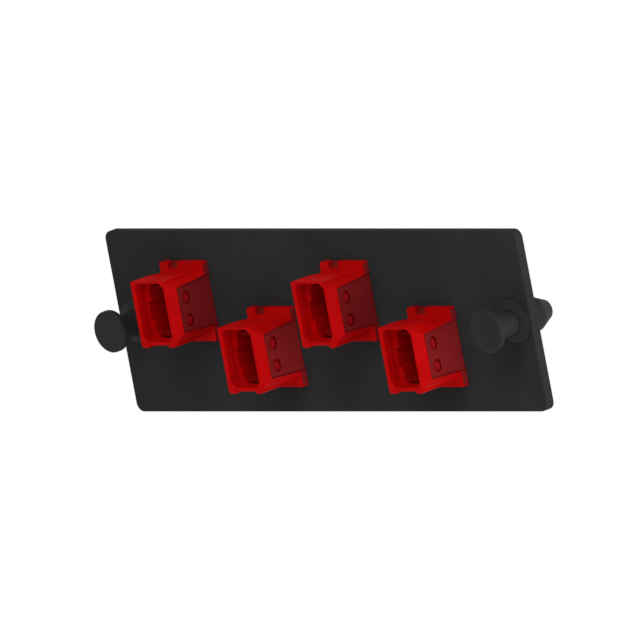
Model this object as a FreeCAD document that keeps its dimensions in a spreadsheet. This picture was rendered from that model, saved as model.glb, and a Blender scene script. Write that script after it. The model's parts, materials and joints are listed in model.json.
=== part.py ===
"""Loaded MPO adapter panel: a plate, four two-part adapters and two push-pull latches.

The origin is the centre of the plate's back face. X runs along the plate, Z is up, and the
front, which the plugs enter, faces -Y. Sizes are in millimetres.
"""
import FreeCAD
import Part
import Sketcher
import os
import re

SIZES = {
    # Plate
    "plate_width": 129.5,
    "plate_height": 41.75,
    "plate_thickness": 2.4,
    "plate_corner": 2.0,
    "plate_edge_bevel": 0.1,
    # Places on the plate: latches from its ends, adapters from the latches
    "latch_edge": 5.35,
    "first_adapter": 18.7,
    "last_adapter": 24.7,
    "row_lean": 0.55,
    "row_offset": 10.6,
    "row_drop": 0.3,
    # Mouth and collar of an adapter
    "mouth_width": 8.9,
    "mouth_height": 13.4,
    "mouth_depth": 3.2,
    "mouth_rise": 0.35,
    "mouth_corner": 1.1,
    "mouth_lead": 0.3,
    "rim_side_wall": 0.8,
    "rim_end_wall": 0.95,
    "rim_depth": 4.3,
    "rim_step": 0.55,
    "rim_corner": 0.6,
    "front_reach": 13.1,
    "rear_reach": 13.1,
    "front_taper": 5.0,
    "rear_taper": 0.5,
    "relief_width": 6.5,
    # Flange and side pads of a front housing
    "flange_side_lap": 1.55,
    "flange_end_lap": 1.5,
    "flange_thickness": 1.65,
    "flange_corner": 0.6,
    "notch_width": 3.0,
    "notch_depth": 1.4,
    "notch_place": 2.6,
    "pad_setback": 2.1,
    "pad_front_height": 10.4,
    "pad_back_height": 12.0,
    "pad_root": 0.1,
    "pad_border": 0.15,
    "pad_recess": 0.25,
    # Passage behind the mouth
    "ledge_side": 1.4,
    "ledge_end": 1.35,
    "key_width": 4.4,
    "key_depth": 0.95,
    "slot_width": 4.6,
    "slot_depth": 0.95,
    # Inner latch moulding
    "latch_seat_side": 0.9,
    "latch_seat_end": 0.75,
    "latch_base": 1.6,
    "latch_clearance": 0.05,
    "window_width": 3.4,
    "window_height": 7.4,
    "arm_thickness": 0.65,
    "arm_inset": 0.2,
    "arm_side_gap": 0.3,
    "arm_setback": 0.6,
    "hook_depth": 0.6,
    "hook_length": 1.7,
    # Sheet clip behind the plate
    "cutout_clearance": 0.2,
    "clip_sheet": 0.35,
    "clip_start": 0.5,
    "clip_end_gap": 1.3,
    "clip_side_gap": 0.05,
    "clip_end_inset": 0.4,
    "clip_bend": 0.3,
    "tang_width": 4.0,
    "tang_rise": 1.3,
    "tang_gap": 0.1,
    "tang_root": 0.9,
    "tang_window_gap": 0.25,
    # Grommet and plunger of a latch
    "collar_radius": 4.3,
    "collar_clearance": 0.1,
    "barrel_radius": 4.0,
    "barrel_length": 4.0,
    "tail_length": 3.8,
    "tail_radius": 2.3,
    "tail_bore": 1.7,
    "grommet_radius": 5.0,
    "grommet_flange": 1.2,
    "grommet_edge": 0.35,
    "grommet_lip": 0.6,
    "split_width": 0.6,
    "split_start": 2.0,
    "shaft_radius": 2.85,
    "shaft_clearance": 0.08,
    "bead_height": 0.22,
    "bead_length": 0.6,
    "bead_clearance": 0.1,
    "stem_clearance": 0.15,
    "stem_length": 3.1,
    "stem_point": 0.8,
    "head_radius": 4.8,
    "head_thickness": 1.35,
    "head_round": 0.25,
    "head_gap": 0.3,
    "plunger_travel": 6.5,
}

ADAPTERS = (1, 2, 3, 4)
SIDES = {"left": -1, "right": 1}
SAME_LENGTH = 1e-4
SAME_VOLUME = 1e-6

# Sizes that follow from the driving ones
RIM_WIDTH = "(mouth_width + 2 * rim_side_wall)"
RIM_HEIGHT = "(mouth_height + 2 * rim_end_wall)"
CORE_HEIGHT = f"({RIM_HEIGHT} - 2 * rim_step)"
PAD_FRONT = "(front_reach - pad_setback)"
FLANGE_WIDTH = f"({RIM_WIDTH} + 2 * flange_side_lap)"
FLANGE_HEIGHT = f"({RIM_HEIGHT} + 2 * flange_end_lap)"
CUTOUT_WIDTH = f"({RIM_WIDTH} + 2 * cutout_clearance)"
CUTOUT_HEIGHT = f"({RIM_HEIGHT} + 2 * cutout_clearance)"
PASSAGE_WIDTH = "(mouth_width - 2 * ledge_side)"
PASSAGE_HEIGHT = "(mouth_height - 2 * ledge_end)"
LATCH_WIDTH = f"({PASSAGE_WIDTH} + 2 * latch_seat_side)"
LATCH_HEIGHT = f"({PASSAGE_HEIGHT} + 2 * latch_seat_end)"
CLIP_INNER = f"({RIM_WIDTH} / 2 - clip_sheet - clip_side_gap)"
CLIP_END = "(rear_reach - rim_depth - rear_taper - clip_end_gap)"
LATCH_X = "(plate_width / 2 - latch_edge)"
ADAPTER_RUN = f"(2 * {LATCH_X} - first_adapter - last_adapter + row_lean)"
ADAPTER_PITCH = f"({ADAPTER_RUN} / {len(ADAPTERS) - 1})"
BARREL_END = "(plate_thickness + barrel_length)"
TAIL_END = f"({BARREL_END} + tail_length)"
LIP_BORE = "(shaft_radius + shaft_clearance)"
BEAD_RADIUS = "(shaft_radius + bead_height)"
BARREL_BORE = f"({BEAD_RADIUS} + shaft_clearance)"
BEAD_FRONT = "(grommet_flange - grommet_lip - bead_clearance)"
HEAD_BACK = "(grommet_flange + head_gap + plunger_travel)"
BORE_END = f"(plunger_travel + bead_length + bead_clearance - {BEAD_FRONT})"

doc = FreeCAD.newDocument("mpo_adapter_panel")
dims = doc.addObject("Spreadsheet::Sheet", "dims")
for row, (alias, size) in enumerate(SIZES.items(), 1):
    dims.set(f"A{row}", alias)
    dims.set(f"B{row}", str(size))
    dims.setAlias(f"B{row}", alias)
doc.recompute()


def bind(text):
    """Turn an expression over size names into one that reads the sheet."""
    return re.sub(r"[a-z][a-z_]+", r"dims.\g<0>", text)


def value(text):
    """Present value of an expression over size names."""
    return float(dims.evalExpression(bind(text)))


def near(one, other):
    """True where two lengths agree."""
    return abs(one - other) < SAME_LENGTH


def new_body(label, place=("0", "0", "0")):
    """Empty body with its node name, placed by three expressions."""
    body = doc.addObject("PartDesign::Body", label)
    body.Label = label
    for axis, text in zip("xyz", place):
        body.setExpression(f"Placement.Base.{axis}", bind(text))
    return body


def start_sketch(body, plane, offset="0"):
    """Sketch on one of the body's own planes, moved along that plane's normal."""
    sketch = body.newObject("Sketcher::SketchObject", f"{body.Label}_sketch")
    support = next(item for item in body.Origin.OriginFeatures if item.Role == plane)
    sketch.AttachmentSupport = [(support, "")]
    sketch.MapMode = "FlatFace"
    sketch.setExpression("AttachmentOffset.Base.z", bind(offset))
    return sketch


def fix_point(sketch, geometry, point, place):
    """Hold one point of a sketch at a pair of expressions from the sketch's origin."""
    for kind, text in zip(("DistanceX", "DistanceY"), place):
        index = sketch.addConstraint(Sketcher.Constraint(kind, -1, 1, geometry, point, value(text)))
        sketch.setExpression(f"Constraints[{index}]", bind(text))


def add_outline(sketch, corners):
    """Closed run of straight lines through corners given as pairs of expressions."""
    points = [FreeCAD.Vector(value(across), value(up), 0) for across, up in corners]
    ends = points[1:] + points[:1]
    lines = [sketch.addGeometry(Part.LineSegment(start, end)) for start, end in zip(points, ends)]
    for line, following in zip(lines, lines[1:] + lines[:1]):
        sketch.addConstraint(Sketcher.Constraint("Coincident", line, 2, following, 1))
    for line, corner in zip(lines, corners):
        fix_point(sketch, line, 1, corner)


def add_rectangle(sketch, width, height, centre=("0", "0")):
    """Rectangle of a width and height about a centre."""
    left, right = (f"({centre[0]}) {sign} ({width}) / 2" for sign in "-+")
    low, high = (f"({centre[1]}) {sign} ({height}) / 2" for sign in "-+")
    add_outline(sketch, [(left, low), (right, low), (right, high), (left, high)])


def add_circle(sketch, radius, centre=("0", "0")):
    """Circle about a centre given as a pair of expressions."""
    middle = FreeCAD.Vector(value(centre[0]), value(centre[1]), 0)
    ring = sketch.addGeometry(Part.Circle(middle, FreeCAD.Vector(0, 0, 1), value(radius)))
    fix_point(sketch, ring, 3, centre)
    index = sketch.addConstraint(Sketcher.Constraint("Radius", ring, value(radius)))
    sketch.setExpression(f"Constraints[{index}]", bind(radius))


def extrude(body, kind, sketch, length, backwards=False, both_ways=False):
    """Pad or pocket of a sketch, along its normal, against it or evenly both ways."""
    feature = body.newObject(f"PartDesign::{kind}", f"{body.Label}_{kind.lower()}")
    feature.Profile = sketch
    feature.setExpression("Length", bind(length))
    feature.Reversed = backwards
    if both_ways:
        feature.SideType = "Symmetric"
    doc.recompute()


def pad(body, sketch, length, backwards=False, both_ways=False):
    """Material added along the sketch's normal."""
    extrude(body, "Pad", sketch, length, backwards, both_ways)


def pocket(body, sketch, length, backwards=False, both_ways=False):
    """Material taken away against the sketch's normal; a pocket that cuts nothing is an error."""
    before = body.Tip.Shape.Volume
    extrude(body, "Pocket", sketch, length, backwards, both_ways)
    if body.Tip.Shape.Volume > before - SAME_VOLUME:
        raise ValueError(f"A pocket of {body.Label} cuts nothing")


def loft(body, first, last):
    """Straight-sided solid between two sketches."""
    feature = body.newObject("PartDesign::AdditiveLoft", f"{body.Label}_loft")
    feature.Profile = first
    feature.Sections = [last]
    feature.Ruled = True
    doc.recompute()


def revolve(body, corners):
    """Turned solid about the body's Y axis, from corners given as (radius, along Y) pairs."""
    sketch = start_sketch(body, "XY_Plane")
    add_outline(sketch, corners)
    feature = body.newObject("PartDesign::Revolution", f"{body.Label}_turning")
    feature.Profile = sketch
    feature.ReferenceAxis = (sketch, ["V_Axis"])
    feature.Angle = 360
    doc.recompute()


def ease(body, kind, size, test):
    """Fillet or chamfer on the edges whose ends and middle all pass a test."""
    base = body.Tip
    names = []
    for number, edge in enumerate(base.Shape.Edges, 1):
        middle = edge.valueAt((edge.FirstParameter + edge.LastParameter) / 2)
        if all(test(point) for point in [middle] + [vertex.Point for vertex in edge.Vertexes]):
            names.append(f"Edge{number}")
    feature = body.newObject(f"PartDesign::{kind}", f"{body.Label}_{kind.lower()}")
    feature.Base = (base, names)
    feature.setExpression("Radius" if kind == "Fillet" else "Size", bind(size))
    doc.recompute()


def adapter_place(number):
    """Centre of an adapter on the plate's front face; odd ones are in the upper row."""
    across = f"first_adapter - {LATCH_X} + {number - 1} * {ADAPTER_PITCH}"
    if number % 2:
        return across, "- plate_thickness", "row_offset / 2 - row_drop"
    return f"{across} - row_lean", "- plate_thickness", "-row_offset / 2 - row_drop"


def make_plate():
    """Flat plate with rounded corners, adapter cut-outs and latch holes."""
    body = new_body("panel_plate")
    sketch = start_sketch(body, "XZ_Plane")
    add_rectangle(sketch, "plate_width", "plate_height")
    pad(body, sketch, "plate_thickness")
    half_width, half_height = value("plate_width / 2"), value("plate_height / 2")
    ease(body, "Fillet", "plate_corner",
         lambda point: near(abs(point.x), half_width) and near(abs(point.z), half_height))
    thickness = value("plate_thickness")
    ease(body, "Chamfer", "plate_edge_bevel",
         lambda point: near(point.y, 0) or near(point.y, -thickness))
    sketch = start_sketch(body, "XZ_Plane", "plate_thickness")
    for number in ADAPTERS:
        across, _, up = adapter_place(number)
        add_rectangle(sketch, CUTOUT_WIDTH, CUTOUT_HEIGHT, (across, up))
    for side in SIDES.values():
        add_circle(sketch, "collar_radius + collar_clearance", (f"{side} * {LATCH_X}", "0"))
    pocket(body, sketch, "plate_thickness")
    return body


def add_core(body, facing, reach, taper):
    """Box-shaped tube of one adapter half, thicker in a collar at its open end.

    Facing is 1 for the front half and -1 for the rear half; distances run from the plane
    where the halves are welded together.
    """
    steps = [("0", CORE_HEIGHT), (f"{reach} - rim_depth - {taper}", CORE_HEIGHT),
             (f"{reach} - rim_depth", RIM_HEIGHT), (reach, RIM_HEIGHT)]
    top = [(f"{-facing} * ({along})", f"{height} / 2") for along, height in steps]
    bottom = [(f"{-facing} * ({along})", f"-{height} / 2") for along, height in reversed(steps)]
    sketch = start_sketch(body, "YZ_Plane")
    add_outline(sketch, top + bottom)
    pad(body, sketch, RIM_WIDTH, both_ways=True)
    half_width, half_height = value(f"{RIM_WIDTH} / 2"), value(f"{RIM_HEIGHT} / 2")
    ease(body, "Fillet", "rim_corner",
         lambda point: near(abs(point.x), half_width) and near(abs(point.z), half_height))


def add_flange(body):
    """Flange on the plate, with a locating notch in its upper edge, left of the middle."""
    sketch = start_sketch(body, "XZ_Plane")
    add_rectangle(sketch, FLANGE_WIDTH, FLANGE_HEIGHT)
    pad(body, sketch, "flange_thickness")
    half_width, half_height = value(f"{FLANGE_WIDTH} / 2"), value(f"{FLANGE_HEIGHT} / 2")
    ease(body, "Fillet", "flange_corner",
         lambda point: near(abs(point.x), half_width) and near(abs(point.z), half_height))
    sketch = start_sketch(body, "XZ_Plane", "flange_thickness")
    centre = ("-notch_place", f"({FLANGE_HEIGHT} - notch_depth) / 2")
    add_rectangle(sketch, "notch_width", "notch_depth", centre)
    pocket(body, sketch, "flange_thickness")


def add_pad_outline(sketch, border):
    """Outline of a side pad less a border: it runs from behind the collar to the plate."""
    front, low, high = f"{border} - {PAD_FRONT}", f"mouth_rise + {border}", f"mouth_rise - {border}"
    add_outline(sketch, [(front, f"{low} - pad_front_height / 2"), ("0", f"{low} - pad_back_height / 2"),
                         ("0", f"{high} + pad_back_height / 2"), (front, f"{high} + pad_front_height / 2")])


def add_side_pad(body, side):
    """Side that flares out to a pad flush with the flange, with a sunk panel on the pad.

    The flare starts at the collar's front edge and at its rounded corners.
    """
    root = start_sketch(body, "YZ_Plane", f"{side} * ({RIM_WIDTH} / 2 - pad_root)")
    add_rectangle(root, "front_reach", f"{RIM_HEIGHT} - 2 * rim_corner", ("-front_reach / 2", "0"))
    face = start_sketch(body, "YZ_Plane", f"{side} * {FLANGE_WIDTH} / 2")
    add_pad_outline(face, "0")
    loft(body, root, face)
    panel = start_sketch(body, "YZ_Plane", f"{side} * {FLANGE_WIDTH} / 2")
    add_pad_outline(panel, "pad_border")
    pocket(body, panel, "pad_recess", backwards=side < 0)


def cut_mouth(body, facing, reach):
    """Mouth with a lead-in, and the keyed passage behind it with a slot for each latch arm."""
    sketch = start_sketch(body, "XZ_Plane", f"{facing} * {reach}")
    add_rectangle(sketch, "mouth_width", "mouth_height", ("0", "mouth_rise"))
    pocket(body, sketch, "mouth_depth", backwards=facing < 0)
    half_width, half_height = value("mouth_width / 2"), value("mouth_height / 2")
    rise, end = value("mouth_rise"), -facing * value(reach)
    ease(body, "Chamfer", "mouth_corner",
         lambda point: near(abs(point.x), half_width) and near(abs(point.z - rise), half_height))
    ease(body, "Chamfer", "mouth_lead", lambda point: near(point.y, end)
         and abs(point.x) < half_width + SAME_LENGTH and abs(point.z - rise) < half_height + SAME_LENGTH)
    across, up = f"{PASSAGE_WIDTH} / 2", f"{PASSAGE_HEIGHT} / 2"
    slot, slot_end = "slot_width / 2", f"({up} + slot_depth)"
    key, key_end = "key_width / 2", f"{facing} * ({across} + key_depth)"
    wall = f"{facing} * {across}"
    sketch = start_sketch(body, "XZ_Plane", f"{facing} * {reach}")
    add_outline(sketch, [(wall, f"-{up}"), (wall, up),
                         (f"{facing} * {slot}", up), (f"{facing} * {slot}", slot_end),
                         (f"{-facing} * {slot}", slot_end), (f"{-facing} * {slot}", up),
                         (f"-{wall}", up), (f"-{wall}", key), (f"-{key_end}", key),
                         (f"-{key_end}", f"-{key}"), (f"-{wall}", f"-{key}"), (f"-{wall}", f"-{up}"),
                         (f"{-facing} * {slot}", f"-{up}"), (f"{-facing} * {slot}", f"-{slot_end}"),
                         (f"{facing} * {slot}", f"-{slot_end}"), (f"{facing} * {slot}", f"-{up}")])
    pocket(body, sketch, reach, backwards=facing < 0)


def cut_latch_seat(body, facing):
    """Seat for the base of the inner latch, open at the weld plane."""
    sketch = start_sketch(body, "XZ_Plane")
    add_rectangle(sketch, f"{LATCH_WIDTH} + 2 * latch_clearance", f"{LATCH_HEIGHT} + 2 * latch_clearance")
    pocket(body, sketch, "latch_base", backwards=facing > 0)


def make_front_housing(number):
    """Front half of an adapter: flange, pads, collar with a relief between two feet, and mouth."""
    body = new_body(f"adapter_{number}_front_housing", adapter_place(number))
    add_core(body, 1, "front_reach", "front_taper")
    sketch = start_sketch(body, "XZ_Plane", "front_reach")
    add_rectangle(sketch, "relief_width", "2 * rim_step", ("0", f"-{RIM_HEIGHT} / 2"))
    pocket(body, sketch, "rim_depth")
    add_flange(body)
    for side in SIDES.values():
        add_side_pad(body, side)
    cut_mouth(body, 1, "front_reach")
    cut_latch_seat(body, 1)
    return body


def make_rear_housing(number):
    """Rear half of an adapter, which goes through the plate and has a groove for the clip."""
    body = new_body(f"adapter_{number}_rear_housing", adapter_place(number))
    add_core(body, -1, "rear_reach", "rear_taper")
    cut_mouth(body, -1, "rear_reach")
    cut_latch_seat(body, -1)
    sketch = start_sketch(body, "YZ_Plane", f"-{RIM_WIDTH} / 2")
    middle = f"(clip_start + {CLIP_END}) / 2"
    length = f"{CLIP_END} - clip_start + 2 * clip_side_gap"
    add_rectangle(sketch, length, CORE_HEIGHT, (middle, "0"))
    pocket(body, sketch, "clip_sheet + clip_side_gap", backwards=True)
    return body


def make_latch(number, end, facing, reach):
    """Inner moulding: a base with the ferrule window and two arms that end in hooks."""
    body = new_body(f"adapter_{number}_{end}_latch", adapter_place(number))
    sketch = start_sketch(body, "XZ_Plane")
    add_rectangle(sketch, LATCH_WIDTH, LATCH_HEIGHT)
    add_rectangle(sketch, "window_width", "window_height")
    pad(body, sketch, "latch_base", backwards=facing < 0)
    tip = f"({reach} - mouth_depth - arm_setback)"
    inner = f"({PASSAGE_HEIGHT} / 2 - arm_inset)"
    outer = f"({inner} + arm_thickness)"
    arm = [("latch_base / 2", inner), (f"{tip} - hook_length", inner),
           (f"{tip} - hook_length / 2", f"{inner} - hook_depth"),
           (tip, inner), (tip, outer), ("latch_base / 2", outer)]
    for side in SIDES.values():
        sketch = start_sketch(body, "YZ_Plane")
        add_outline(sketch, [(f"{-facing} * ({along})", f"{side} * ({up})") for along, up in arm])
        pad(body, sketch, "slot_width - 2 * arm_side_gap", both_ways=True)
    return body


def make_clip(number):
    """Bent sheet clip round the rear half, with a sprung tang above and below behind the plate."""
    body = new_body(f"adapter_{number}_clip", adapter_place(number))
    inner, outer = f"{CORE_HEIGHT} / 2", f"({CORE_HEIGHT} / 2 + clip_sheet)"
    leg_end = f"{RIM_WIDTH} / 2 - clip_end_inset"
    back = f"-({CLIP_INNER} + clip_sheet)"
    sketch = start_sketch(body, "XZ_Plane", "- clip_start")
    add_outline(sketch, [(back, f"-{outer}"), (leg_end, f"-{outer}"), (leg_end, f"-{inner}"),
                         (f"-{CLIP_INNER}", f"-{inner}"), (f"-{CLIP_INNER}", inner), (leg_end, inner),
                         (leg_end, outer), (back, outer)])
    pad(body, sketch, f"{CLIP_END} - clip_start", backwards=True)
    corner_x, corner_z = value(back), value(outer)
    ease(body, "Fillet", "clip_bend",
         lambda point: near(point.x, corner_x) and near(abs(point.z), corner_z))
    tip = "(plate_thickness + tang_gap)"
    root = f"({CLIP_END} - tang_root)"
    sketch = start_sketch(body, "XY_Plane")
    length = f"{root} - {tip} + tang_window_gap"
    middle = f"({root} + {tip} - tang_window_gap) / 2"
    add_rectangle(sketch, "tang_width + 2 * tang_window_gap", length, ("0", middle))
    pocket(body, sketch, f"2 * {outer}", both_ways=True)
    for side in SIDES.values():
        sketch = start_sketch(body, "YZ_Plane")
        tang = [(CLIP_END, inner), (CLIP_END, outer), (root, outer), (tip, f"{outer} + tang_rise"),
                (tip, f"{inner} + tang_rise"), (root, inner)]
        add_outline(sketch, [(along, f"{side} * ({up})") for along, up in tang])
        pad(body, sketch, "tang_width", both_ways=True)
    return body


def latch_place(side):
    """Centre of a latch on the plate's front face."""
    return f"{side} * {LATCH_X}", "- plate_thickness", "0"


def make_grommet(name, side):
    """Turned grommet: coned flange, collar in the plate, barrel behind it and a tail of two prongs."""
    body = new_body(f"{name}_grommet", latch_place(side))
    lip_end = "grommet_lip - grommet_flange"
    revolve(body, [(LIP_BORE, "- grommet_flange"),
                   ("grommet_radius", "- grommet_edge"), ("grommet_radius", "0"),
                   ("collar_radius", "0"), ("collar_radius", "plate_thickness"),
                   ("barrel_radius", "plate_thickness"), ("barrel_radius", BARREL_END),
                   ("tail_radius", TAIL_END), ("tail_bore", TAIL_END),
                   ("tail_bore", BORE_END), (BARREL_BORE, BORE_END),
                   (BARREL_BORE, lip_end), (LIP_BORE, lip_end)])
    sketch = start_sketch(body, "XY_Plane")
    split_front = "(plate_thickness + split_start)"
    middle = f"({TAIL_END} + {split_front}) / 2"
    add_rectangle(sketch, "split_width", f"{TAIL_END} - {split_front}", ("0", middle))
    pocket(body, sketch, "2 * collar_radius", both_ways=True)
    return body


def make_plunger(name, side):
    """Turned plunger, drawn pulled out: head, shaft, retaining bead and pointed stem."""
    body = new_body(f"{name}_plunger", latch_place(side))
    head_front = f"({HEAD_BACK} + head_thickness)"
    stem = "(tail_bore - stem_clearance)"
    bead_back = f"({BEAD_FRONT} - bead_length)"
    stem_end = f"({bead_back} - stem_length)"
    revolve(body, [("0", f"-{head_front}"), ("head_radius - head_round", f"-{head_front}"),
                   ("head_radius", f"head_round - {head_front}"), ("head_radius", f"-{HEAD_BACK}"),
                   ("shaft_radius", f"-{HEAD_BACK}"), ("shaft_radius", f"-{BEAD_FRONT}"),
                   (BEAD_RADIUS, f"-{BEAD_FRONT}"), (BEAD_RADIUS, f"-{bead_back}"),
                   (stem, f"-{bead_back}"), (stem, f"-{stem_end} - stem_point"),
                   (f"{stem} - stem_point", f"-{stem_end}"), ("0", f"-{stem_end}")])
    return body


nodes = [make_plate()]
for number in ADAPTERS:
    nodes.append(make_front_housing(number))
    nodes.append(make_rear_housing(number))
    nodes.append(make_latch(number, "front", 1, "front_reach"))
    nodes.append(make_latch(number, "rear", -1, "rear_reach"))
    nodes.append(make_clip(number))
for name, side in SIDES.items():
    nodes.append(make_grommet(name, side))
    nodes.append(make_plunger(name, side))
doc.recompute()

for item in doc.Objects:
    if {"Invalid", "Error"} & set(item.State):
        raise RuntimeError(f"{item.Label} failed to build: {item.State}")
for node in nodes:
    if node.Shape.isNull() or not node.Shape.isValid() or len(node.Shape.Solids) != 1:
        raise RuntimeError(f"{node.Label} is not one valid solid")

os.makedirs("parts", exist_ok=True)
for node in nodes:
    node.Shape.exportStep(f"parts/{node.Label}.step")
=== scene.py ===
"""Looks of a loaded multi-fibre adapter panel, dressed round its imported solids.

The panel stands upright with its front towards -Y. Lengths are in metres, angles in degrees.
"""
import json
import math

import bpy
import numpy as np
from mathutils import Matrix, Vector


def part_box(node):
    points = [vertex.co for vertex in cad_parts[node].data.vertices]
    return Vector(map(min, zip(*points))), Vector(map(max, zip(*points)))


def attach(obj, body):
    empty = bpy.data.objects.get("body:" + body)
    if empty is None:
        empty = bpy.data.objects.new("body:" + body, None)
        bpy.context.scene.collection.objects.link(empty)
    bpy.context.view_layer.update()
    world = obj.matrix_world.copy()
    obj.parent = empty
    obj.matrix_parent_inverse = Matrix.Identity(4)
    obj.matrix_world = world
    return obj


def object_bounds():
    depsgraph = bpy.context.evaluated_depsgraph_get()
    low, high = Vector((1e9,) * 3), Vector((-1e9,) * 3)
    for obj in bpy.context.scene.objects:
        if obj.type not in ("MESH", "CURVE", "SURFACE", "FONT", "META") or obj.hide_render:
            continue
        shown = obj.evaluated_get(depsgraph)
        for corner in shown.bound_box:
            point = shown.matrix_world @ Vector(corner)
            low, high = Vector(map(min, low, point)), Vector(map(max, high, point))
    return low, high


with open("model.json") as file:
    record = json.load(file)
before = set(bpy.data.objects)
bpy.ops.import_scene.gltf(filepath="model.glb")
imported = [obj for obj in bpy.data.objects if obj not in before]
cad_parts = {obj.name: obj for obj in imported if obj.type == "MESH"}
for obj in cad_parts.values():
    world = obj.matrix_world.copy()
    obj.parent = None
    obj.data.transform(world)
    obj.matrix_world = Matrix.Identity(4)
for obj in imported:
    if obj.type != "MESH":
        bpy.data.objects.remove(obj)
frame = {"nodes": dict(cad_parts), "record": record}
cad_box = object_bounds()

# View: the panel is tipped towards the camera, which stands to the right of its front
VIEW_TURN = 45
VIEW_TIP = 15
QUARTER_TURN = 90
FRAME_PIXELS = 640
PIXELS_PER_METRE = 4479
PLATE_CENTRE_PIXEL = (325.88, 321.3)
CAMERA_DISTANCE = 0.6
CAMERA_CLIP = (0.006, 6)

# Studio: each lamp has a direction that it stands in, a width and a power in watts
WHITE = (1, 1, 1, 1)
FLOOR_DROP = 0.42
FLOOR_HALF_WIDTH = 1.5
FLOOR_COLOUR = (0.86, 0.86, 0.86, 1)
FLOOR_ROUGHNESS = 0.9
FLOOR_GLOW = 0.62
SKY_STRENGTH = 0.5
LAMP_DISTANCE = 0.9
LAMPS = {
    "key": ((0.32, -0.58, 0.75), 0.6, 2.8),
    "fill": ((0.35, -0.85, -0.4), 0.6, 0.8),
    "side": ((0.93, -0.08, -0.3), 0.5, 2.2),
    "rim": ((0.85, 0.5, 0.1), 0.6, 3.0),
}

# Finishes: the usual range of a noise, how an edge is eased and found, and the gloss of red plastic
GRAIN_START = 0.35
GRAIN_END = 0.65
EDGE_SAMPLES = 6
EDGE_FULL = 0.85
EDGE_NONE = 0.99
RED_GLOSS = 0.03

# Side panels of the adapters, and the two oval marks on each right-hand one
PANEL_DEPTH = 0.00025
PANEL_BAND = 1.5 * PANEL_DEPTH
# Radius of the painted shadow along the side panels' edges
PANEL_SHADOW_LINE = 0.0004
PANEL_ROUGHER = 0.06
SIDEWAYS = 0.95
MARK_HALF_LENGTH = 0.0015
MARK_HALF_WIDTH = 0.00115
MARK_LEAN = 0.001
MARK_HEIGHT = 0.00025
MARK_FULLNESS = 6
MARK_SPACING = 0.0052
MARK_SETBACK = 0.0048
MARK_RISE = 0.00023
MARK_RINGS = 12
MARK_RIM_RINGS = 4
MARK_SPOKES = 40

# Web that closes the back of the notch in the top of each adapter's flange
NOTCH_OFFSET = 0.0026
NOTCH_HALF_WIDTH = 0.0015
NOTCH_DEPTH = 0.0014
FLANGE_THICKNESS = 0.00165
WEB_THICKNESS = 0.0007
WEB_STEPS = 12


class Finish:
    """One procedural finish: a node tree that ends in a Principled shader."""

    def __init__(self, name):
        self.material = bpy.data.materials.new(name)
        self.material.use_nodes = True
        self.nodes = self.material.node_tree.nodes
        self.shader = self.nodes["Principled BSDF"]
        self.place = self.add("ShaderNodeTexCoord").outputs["Object"]

    def add(self, kind, sockets=None, **settings):
        """Node of a kind, with its settings made and its sockets set or linked."""
        node = self.nodes.new(kind)
        for name, setting in settings.items():
            setattr(node, name, setting)
        self.feed(node, sockets or {})
        return node

    def feed(self, node, sockets):
        """Set each socket, by its name or number, to a value or link it to another node's output."""
        for name, source in sockets.items():
            if isinstance(source, bpy.types.NodeSocket):
                self.material.node_tree.links.new(source, node.inputs[name])
            else:
                node.inputs[name].default_value = source

    def grain(self, size, detail, stretch=(1, 1, 1)):
        """Noise from 0 to 1 with lumps of a size, longer along the axes that stretch favours."""
        place = self.add("ShaderNodeMapping", {"Vector": self.place,
                                               "Scale": tuple(1 / length for length in stretch)})
        noise = self.add("ShaderNodeTexNoise", {"Vector": place.outputs["Vector"],
                                                "Scale": 1 / size, "Detail": detail})
        return noise.outputs["Fac"]

    def spread(self, amount, low, high, start=GRAIN_START, end=GRAIN_END):
        """Number that goes from low to high as an amount goes from start to end."""
        span = self.add("ShaderNodeMapRange", {"Value": amount, "From Min": start, "From Max": end,
                                               "To Min": low, "To Max": high})
        return span.outputs["Result"]

    def tint(self, noise, first, second):
        """Colour that goes from first to second over the usual range of a noise."""
        ramp = self.add("ShaderNodeValToRGB", {"Fac": noise})
        low, high = ramp.color_ramp.elements
        low.position, high.position = GRAIN_START, GRAIN_END
        low.color, high.color = (*first, 1), (*second, 1)
        return ramp.outputs["Color"]

    def blend(self, amount, first, second):
        """Colour that goes from first to second as an amount goes from 0 to 1."""
        mix = self.add("ShaderNodeMixRGB", {"Fac": amount, "Color1": first, "Color2": second})
        return mix.outputs["Color"]

    def work_out(self, operation, *terms):
        """Result of an operation on numbers or outputs."""
        return self.add("ShaderNodeMath", dict(enumerate(terms)), operation=operation).outputs["Value"]

    def edge_normal(self, radius):
        """Surface normal with every edge eased to a radius."""
        return self.add("ShaderNodeBevel", {"Radius": radius}, samples=EDGE_SAMPLES).outputs["Normal"]

    def edge_mask(self, normal):
        """1 on the edges that an eased normal rounds, 0 on flat faces."""
        flat = self.add("ShaderNodeNewGeometry").outputs["Normal"]
        turn = self.add("ShaderNodeVectorMath", {0: flat, 1: normal}, operation="DOT_PRODUCT")
        return self.spread(turn.outputs["Value"], low=1, high=0, start=EDGE_FULL, end=EDGE_NONE)

    def relief(self, height, depth, strength, normal):
        """Normal of a fine relief laid over another normal."""
        bump = self.add("ShaderNodeBump", {"Height": height, "Distance": depth, "Strength": strength,
                                           "Normal": normal})
        return bump.outputs["Normal"]


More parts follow.
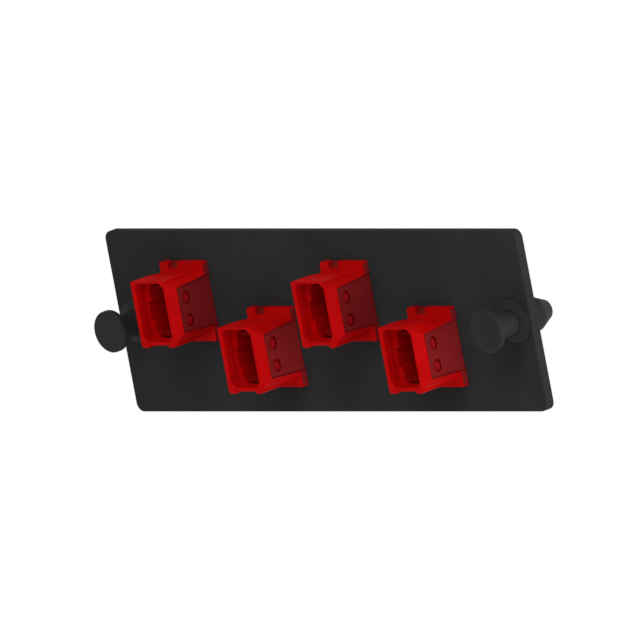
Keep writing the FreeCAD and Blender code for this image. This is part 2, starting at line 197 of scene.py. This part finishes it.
def plate_coating():
    """Black powder coat: soft mottling in colour, fine orange peel, and edges made paler as worn coat
    and painted highlight.
    """
    finish = Finish("plate_coating")
    peel = finish.grain(size=0.0006, detail=3)
    clouds = finish.grain(size=0.014, detail=4)
    eased = finish.edge_normal(radius=0.00025)
    coat = finish.tint(clouds, (0.0270, 0.0270, 0.0274), (0.0320, 0.0320, 0.0325))
    # Paler edges: partly worn coat, partly a painted highlight
    edge_wear_and_highlight = finish.spread(clouds, low=0.3, high=1)
    worn_and_highlit_edges = finish.work_out("MULTIPLY", finish.edge_mask(eased), edge_wear_and_highlight)
    finish.feed(finish.shader, {
        "Base Color": finish.blend(worn_and_highlit_edges, coat, (0.04, 0.04, 0.04, 1)),
        "Roughness": finish.spread(peel, low=0.82, high=0.92),
        "Specular IOR Level": 0.02,
        "Normal": finish.relief(peel, depth=0.00001, strength=0.35, normal=eased),
    })
    return finish.material


def adapter_shell(name, side_panels=None):
    """Red moulded plastic: faint flow clouds, a fine skin and eased edges.

    Side panels, if given, are the X of the panels' middle and their distance from it. What faces
    sideways there or further out gets a darker red with a fine grain, painted shade and a grey painted
    sheen, and a painted shadow along its edges.
    """
    finish = Finish(name)
    skin = finish.grain(size=0.00022, detail=3)
    flow = finish.grain(size=0.006, detail=3, stretch=(1, 3, 1))
    colour = finish.tint(flow, (0.46, 0.0012, 0.0016), (0.53, 0.0016, 0.0022))
    roughness = finish.spread(skin, low=0.5, high=0.62)
    if side_panels:
        middle, distance = side_panels
        across = finish.add("ShaderNodeSeparateXYZ", {"Vector": finish.place}).outputs["X"]
        outward = finish.work_out("ABSOLUTE", finish.work_out("SUBTRACT", across, middle))
        facing = finish.add("ShaderNodeNewGeometry").outputs["True Normal"]
        sideways = finish.add("ShaderNodeSeparateXYZ", {"Vector": facing}).outputs["X"]
        flat = finish.work_out("GREATER_THAN", finish.work_out("ABSOLUTE", sideways), SIDEWAYS)
        # Side panels get a darker grainy red holding painted shade and a grey painted sheen
        panel = finish.work_out("MULTIPLY", finish.work_out("GREATER_THAN", outward, distance), flat)
        speckle_shade_and_sheen = finish.tint(finish.grain(size=0.0003, detail=2),
                              (0.222, 0.0119, 0.0141), (0.278, 0.0156, 0.0176))
        # Painted shadow along the panels' edges, where a step would cast it
        painted_shadow_line = finish.edge_mask(finish.edge_normal(PANEL_SHADOW_LINE))
        panel_colour_with_painted_shade = finish.blend(painted_shadow_line, speckle_shade_and_sheen, (0.095, 0.0006, 0.0008, 1))
        colour = finish.blend(panel, colour, panel_colour_with_painted_shade)
        roughness = finish.work_out("MULTIPLY_ADD", panel, PANEL_ROUGHER, roughness)
    eased = finish.edge_normal(radius=0.00012)
    finish.feed(finish.shader, {
        "Base Color": colour,
        "Roughness": roughness,
        "Specular IOR Level": RED_GLOSS,
        "Normal": finish.relief(skin, depth=0.000006, strength=0.3, normal=eased),
    })
    return finish.material


def smooth_red(name, dull, bright):
    """Red plastic from dull to bright, smoother than the shell, for the marks and the notch webs; dark
    versions of it are painted shadow.
    """
    finish = Finish(name)
    skin = finish.grain(size=0.0002, detail=2)
    eased = finish.edge_normal(radius=0.0001)
    finish.feed(finish.shader, {
        "Base Color": finish.tint(skin, dull, bright),
        "Roughness": finish.spread(skin, low=0.34, high=0.44),
        "Specular IOR Level": RED_GLOSS,
        "Normal": finish.relief(skin, depth=0.000004, strength=0.3, normal=eased),
    })
    return finish.material


def latch_moulding():
    """Duller red plastic of the inner latches, made darker still as painted shade for the inside of
    the mouths.
    """
    finish = Finish("latch_moulding")
    skin = finish.grain(size=0.0003, detail=2)
    flow = finish.grain(size=0.004, detail=3)
    eased = finish.edge_normal(radius=0.0001)
    finish.feed(finish.shader, {
        # Depth of red partly the latch's own, partly painted shade of the mouth's inside
        "Base Color": finish.tint(flow, (0.18, 0.0010, 0.0013), (0.215, 0.0013, 0.0017)),
        "Roughness": finish.spread(skin, low=0.48, high=0.58),
        "Specular IOR Level": RED_GLOSS,
        "Normal": finish.relief(skin, depth=0.000006, strength=0.3, normal=eased),
    })
    return finish.material


def clip_steel():
    """Spring steel with rolling marks along the strip."""
    finish = Finish("clip_steel")
    rolled = finish.grain(size=0.00018, detail=3, stretch=(12, 1, 12))
    tarnish = finish.grain(size=0.004, detail=3)
    eased = finish.edge_normal(radius=0.00006)
    finish.feed(finish.shader, {
        "Base Color": finish.tint(tarnish, (0.58, 0.58, 0.56), (0.68, 0.67, 0.65)),
        "Metallic": 1.0,
        "Roughness": finish.spread(rolled, low=0.34, high=0.46),
        "Normal": finish.relief(rolled, depth=0.000004, strength=0.2, normal=eased),
    })
    return finish.material


def fastener_plastic():
    """Black nylon of the plunger latches: satin, with faint flow clouds and eased edges."""
    finish = Finish("fastener_plastic")
    skin = finish.grain(size=0.0003, detail=3)
    flow = finish.grain(size=0.005, detail=3)
    eased = finish.edge_normal(radius=0.0002)
    finish.feed(finish.shader, {
        "Base Color": finish.tint(flow, (0.0215, 0.0215, 0.0219), (0.0255, 0.0255, 0.0260)),
        "Roughness": finish.spread(skin, low=0.5, high=0.62),
        "Specular IOR Level": 0.05,
        "Normal": finish.relief(skin, depth=0.000008, strength=0.35, normal=eased),
    })
    return finish.material


def dress_solids():
    """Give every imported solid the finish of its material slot; front housings have side panels."""
    finishes = {
        "plate_coating": plate_coating(),
        "adapter_shell": adapter_shell("adapter_shell"),
        "latch_moulding": latch_moulding(),
        "clip_steel": clip_steel(),
        "fastener_plastic": fastener_plastic(),
    }
    for part in frame["record"]["subparts"]:
        name, finish = part["node"], finishes[part["material_slot"]]
        if name.endswith("front_housing"):
            low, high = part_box(name)
            distance = (high.x - low.x) / 2 - PANEL_BAND
            finish = adapter_shell(name.replace("housing", "shell"), ((low.x + high.x) / 2, distance))
        mesh = frame["nodes"][name].data
        mesh.materials.clear()
        mesh.materials.append(finish)


def add_object(name, data):
    """New object at the scene's origin, with a mesh, a lamp or a camera as its data."""
    item = bpy.data.objects.new(name, data)
    bpy.context.scene.collection.objects.link(item)
    return item


def add_to_shell(mesh):
    """Make a mesh a piece of an adapter's shell, which rides on the panel."""
    piece = add_object(mesh.name, mesh)
    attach(piece, "panel")


def mark_surface(centre):
    """Low oval button that faces +X, with its crown nearer to the front.

    A point at angle a and at a fraction f of the way out lies f * MARK_HALF_WIDTH times the cosine of
    a behind its ring's centre and f * MARK_HALF_LENGTH times its sine above it, and stands out by
    MARK_HEIGHT times one less f to the power MARK_FULLNESS. The ring's centre is moved MARK_LEAN
    times one less f towards the front.
    """
    fraction = np.linspace(1, 0, MARK_RINGS + 1)[:-1, None]
    angle = np.linspace(0, 2 * np.pi, MARK_SPOKES, endpoint=False)[None, :]
    rings = np.stack(np.broadcast_arrays(
        centre[0] + MARK_HEIGHT * (1 - fraction ** MARK_FULLNESS),
        centre[1] + MARK_HALF_WIDTH * fraction * np.cos(angle) - MARK_LEAN * (1 - fraction),
        centre[2] + MARK_HALF_LENGTH * fraction * np.sin(angle)), axis=-1).reshape(-1, 3)
    points = np.vstack([rings, [(centre[0] + MARK_HEIGHT, centre[1] - MARK_LEAN, centre[2])]])
    here = np.arange(MARK_RINGS * MARK_SPOKES).reshape(MARK_RINGS, MARK_SPOKES)
    beside = np.roll(here, -1, axis=1)
    bands = np.stack([here[:-1], beside[:-1], beside[1:], here[1:]], axis=-1).reshape(-1, 4)
    crown = np.stack([here[-1], beside[-1], np.full(MARK_SPOKES, len(rings))], axis=-1)
    return points, bands, crown


def add_marks(housing, rim_shadow_finish, middle_finish):
    """Two marks, one above the other, on the right-hand panel of a front housing.

    The outer rings of each mark have a dark red that is painted shadow, the others the finish of its
    middle.
    """
    low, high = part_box(housing)
    middle = (low.z + high.z) / 2 + MARK_RISE
    points, faces = [], []
    for side in (-1, 1):
        centre = (high.x - PANEL_DEPTH, low.y + MARK_SETBACK, middle + side * MARK_SPACING / 2)
        mark, bands, crown = mark_surface(centre)
        faces += (bands + len(points)).tolist() + (crown + len(points)).tolist()
        points += mark.tolist()
    mesh = bpy.data.meshes.new(housing.replace("front_housing", "marks"))
    mesh.from_pydata(points, [], faces)
    mesh.shade_smooth()
    mesh.materials.append(rim_shadow_finish)
    mesh.materials.append(middle_finish)
    face_of_mark = np.arange(len(faces)) % (MARK_RINGS * MARK_SPOKES)
    in_middle = face_of_mark >= MARK_RIM_RINGS * MARK_SPOKES
    mesh.polygons.foreach_set("material_index", in_middle.astype(np.int32))
    add_to_shell(mesh)


def web_surface(left, right, front, back, floor, top):
    """Closed web across a notch: a profile carried along X from one wall of the notch to the other.

    The profile's front is a quarter of an ellipse about the notch's upper front edge. At angle a it
    lies the ellipse's depth times the sine of a behind that edge and its height times the cosine of a
    below it, so it sweeps back and up from the front of the notch's floor. The flat top, back and
    base close it.
    """
    angle = np.linspace(0, np.pi / 2, WEB_STEPS)
    depth = back - WEB_THICKNESS - front
    profile = np.vstack([
        np.stack([front + depth * np.sin(angle), top - (top - floor) * np.cos(angle)], axis=-1),
        [(back, top), (back, floor)]])
    count = len(profile)
    points = np.vstack([np.column_stack([np.full(count, side), profile]) for side in (left, right)])
    here = np.arange(count)
    beside = np.roll(here, -1)
    strips = np.stack([here, here + count, beside + count, beside], axis=-1)
    return points, [*strips.tolist(), here.tolist(), (here[::-1] + count).tolist()]


def add_web(housing, finish):
    """Web at the back of the notch in the top of a front housing's flange, its dark red a painted
    shadow.
    """
    low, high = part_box(housing)
    middle = (low.x + high.x) / 2 - NOTCH_OFFSET
    points, faces = web_surface(middle - NOTCH_HALF_WIDTH, middle + NOTCH_HALF_WIDTH,
                                high.y - FLANGE_THICKNESS, high.y, high.z - NOTCH_DEPTH, high.z)
    mesh = bpy.data.meshes.new(housing.replace("front_housing", "notch_web"))
    mesh.from_pydata(points.tolist(), [], faces)
    mesh.materials.append(finish)
    add_to_shell(mesh)


def detail_housings():
    """Add the marks and the notch web to every front housing."""
    # The marks' dark rims are painted shadow
    mark_rim_shadow = smooth_red("mark_rim_shadow", (0.125, 0.0010, 0.0012), (0.155, 0.0014, 0.0018))
    mark_middle = smooth_red("mark_middle", (0.32, 0.0055, 0.0085), (0.37, 0.0070, 0.0105))
    # The notch webs' dark red is painted shadow
    notch_shade = smooth_red("notch_shade", (0.152, 0.0055, 0.0042), (0.184, 0.0072, 0.0055))
    for name in frame["nodes"]:
        if name.endswith("front_housing"):
            add_marks(name, mark_rim_shadow, mark_middle)
            add_web(name, notch_shade)


def backdrop_rays(nodes, links):
    """1 for the rays that show the background: those of the camera, of gloss and through glass."""
    path = nodes.new("ShaderNodeLightPath").outputs
    shown = path["Is Camera Ray"]
    for kind in ("Is Glossy Ray", "Is Transmission Ray"):
        either = nodes.new("ShaderNodeMath")
        either.operation = "MAXIMUM"
        links.new(shown, either.inputs[0])
        links.new(path[kind], either.inputs[1])
        shown = either.outputs["Value"]
    return shown


def lay_floor():
    """Pale floor well below the panel, which takes its shadow and fades into the background."""
    height = cad_box[0].z - FLOOR_DROP
    corners = [(x * FLOOR_HALF_WIDTH, y * FLOOR_HALF_WIDTH, height)
               for x, y in ((-1, -1), (1, -1), (1, 1), (-1, 1))]
    mesh = bpy.data.meshes.new("floor")
    mesh.from_pydata(corners, [], [(0, 1, 2, 3)])
    paper = Finish("floor_paper")
    shown = backdrop_rays(paper.nodes, paper.material.node_tree.links)
    paper.feed(paper.shader, {
        "Base Color": FLOOR_COLOUR,
        "Roughness": FLOOR_ROUGHNESS,
        "Specular IOR Level": 0.0,
        "Emission Color": WHITE,
        "Emission Strength": paper.work_out("MULTIPLY", shown, FLOOR_GLOW),
    })
    mesh.materials.append(paper.material)
    floor = add_object("floor", mesh)


def light_studio():
    """White surroundings that give an even soft light, with large lamps in front and to the right."""
    world = bpy.data.worlds.new("studio")
    bpy.context.scene.world = world
    world.use_nodes = True
    nodes, links = world.node_tree.nodes, world.node_tree.links
    strength = nodes.new("ShaderNodeMapRange")
    strength.inputs["To Min"].default_value = SKY_STRENGTH
    links.new(backdrop_rays(nodes, links), strength.inputs["Value"])
    nodes["Background"].inputs["Color"].default_value = WHITE
    links.new(strength.outputs["Result"], nodes["Background"].inputs["Strength"])
    for name, (stand, width, watts) in LAMPS.items():
        lamp = bpy.data.lights.new(name, "AREA")
        lamp.shape = "DISK"
        lamp.size = width
        lamp.energy = watts
        direction = Vector(stand).normalized()
        holder = add_object(name, lamp)
        holder.location = direction * LAMP_DISTANCE
        holder.rotation_euler = direction.to_track_quat("Z", "Y").to_euler()


def place_camera():
    """Orthographic camera that sees the plate's front centre at its pixel of the frame.

    A quarter turn raises it from looking down to looking level at the front. It is then turned to the
    right and tipped about the panel's long axis.
    """
    turn = (Matrix.Rotation(math.radians(-VIEW_TIP), 3, "X")
            @ Matrix.Rotation(math.radians(VIEW_TURN), 3, "Z")
            @ Matrix.Rotation(math.radians(QUARTER_TURN), 3, "X"))
    right, up, back = turn.col
    low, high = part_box("panel_plate")
    target = Vector(((low.x + high.x) / 2, low.y, (low.z + high.z) / 2))
    target -= right * (PLATE_CENTRE_PIXEL[0] - FRAME_PIXELS / 2) / PIXELS_PER_METRE
    target += up * (PLATE_CENTRE_PIXEL[1] - FRAME_PIXELS / 2) / PIXELS_PER_METRE
    camera = add_object("camera", bpy.data.cameras.new("camera"))
    camera.data.type = "ORTHO"
    camera.data.ortho_scale = FRAME_PIXELS / PIXELS_PER_METRE
    camera.data.clip_start, camera.data.clip_end = CAMERA_CLIP
    camera.matrix_world = Matrix.Translation(target + back * CAMERA_DISTANCE) @ turn.to_4x4()
    bpy.context.scene.camera = camera


dress_solids()
detail_housings()
lay_floor()
light_studio()
place_camera()
bpy.context.scene.view_settings.view_transform = "Standard"
